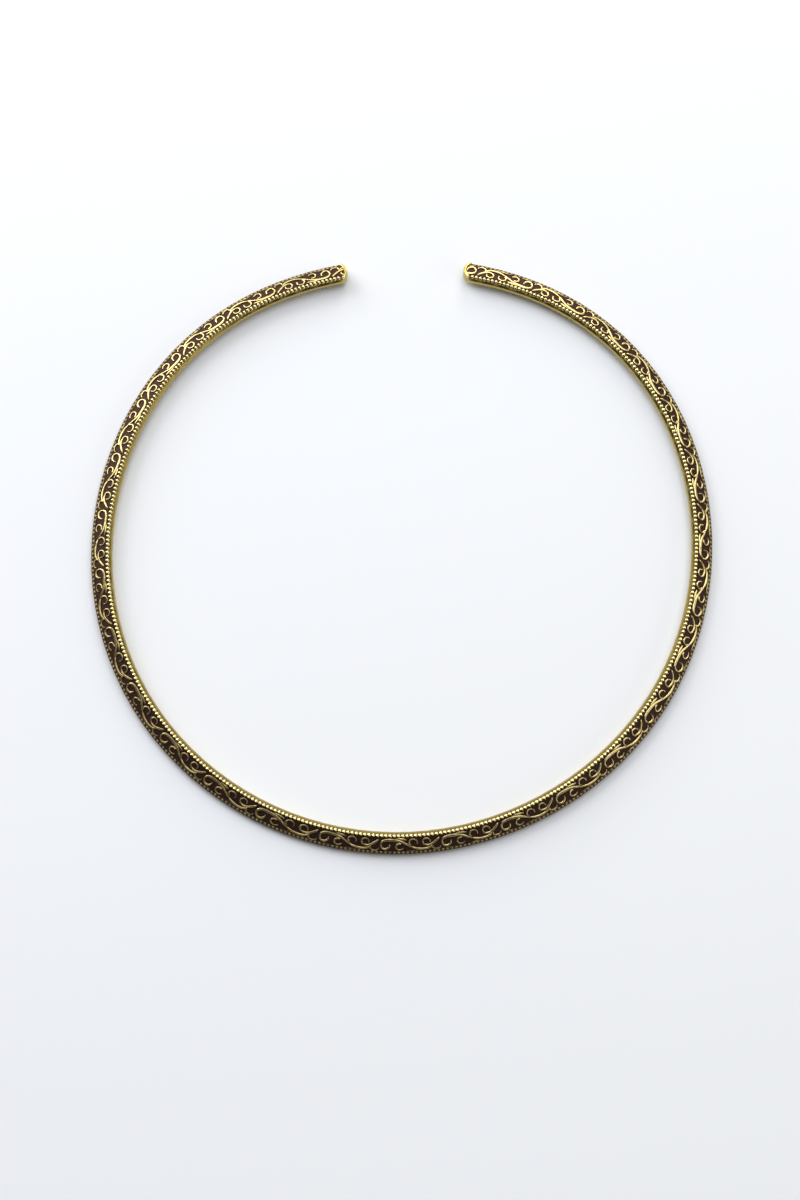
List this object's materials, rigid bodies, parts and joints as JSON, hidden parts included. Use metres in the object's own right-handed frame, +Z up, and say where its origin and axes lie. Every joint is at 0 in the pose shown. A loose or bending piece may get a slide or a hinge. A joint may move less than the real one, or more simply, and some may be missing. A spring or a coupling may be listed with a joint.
{
  "type": "open torc neck ring",
  "caption": "Open rigid neck ring of antiqued gold-coloured metal: a flat bar leaning out like a collar, its face a running scroll between beaded edges.",
  "frame": {"origin": "under the middle of the ring, on the surface it lies on", "axes": "+Z up from that surface, +Y towards the mouth of the ring, +X to the right seen from above with the mouth at the top"},
  "size_m": [0.1404, 0.1372, 0.0034],
  "materials": {
    "antiqued_brass": "antiqued: dark brown in the sunk ground, rubbed bright on the raised scroll, the beads and the ends"
  },
  "bodies": {
    "root": {"neck_ring": "antiqued_brass"}
  },
  "joints": []
}
